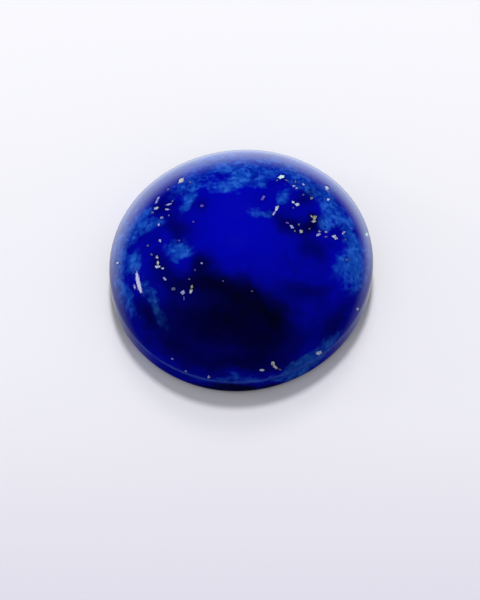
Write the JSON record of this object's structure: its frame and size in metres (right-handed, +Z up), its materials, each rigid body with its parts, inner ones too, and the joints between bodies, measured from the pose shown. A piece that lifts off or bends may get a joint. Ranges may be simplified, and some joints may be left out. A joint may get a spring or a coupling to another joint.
{
  "type": "lapis lazuli cabochon",
  "caption": "Low, slightly oval domed gemstone in polished deep blue rock with brassy flecks, a narrow side band and a flat back to rest on or set in a bezel.",
  "frame": {"origin": "centre of the plan at the level of the flat back that the stone rests on", "axes": "+Z up through the crown of the dome, +X to the right and +Y away from the viewer as the picture shows the stone"},
  "size_m": [0.0162, 0.0158, 0.0058],
  "materials": {
    "lapis": "high polish on the dome and band, finely lapped on the back"
  },
  "bodies": {
    "root": {"lapis_cabochon": "lapis"}
  },
  "joints": []
}
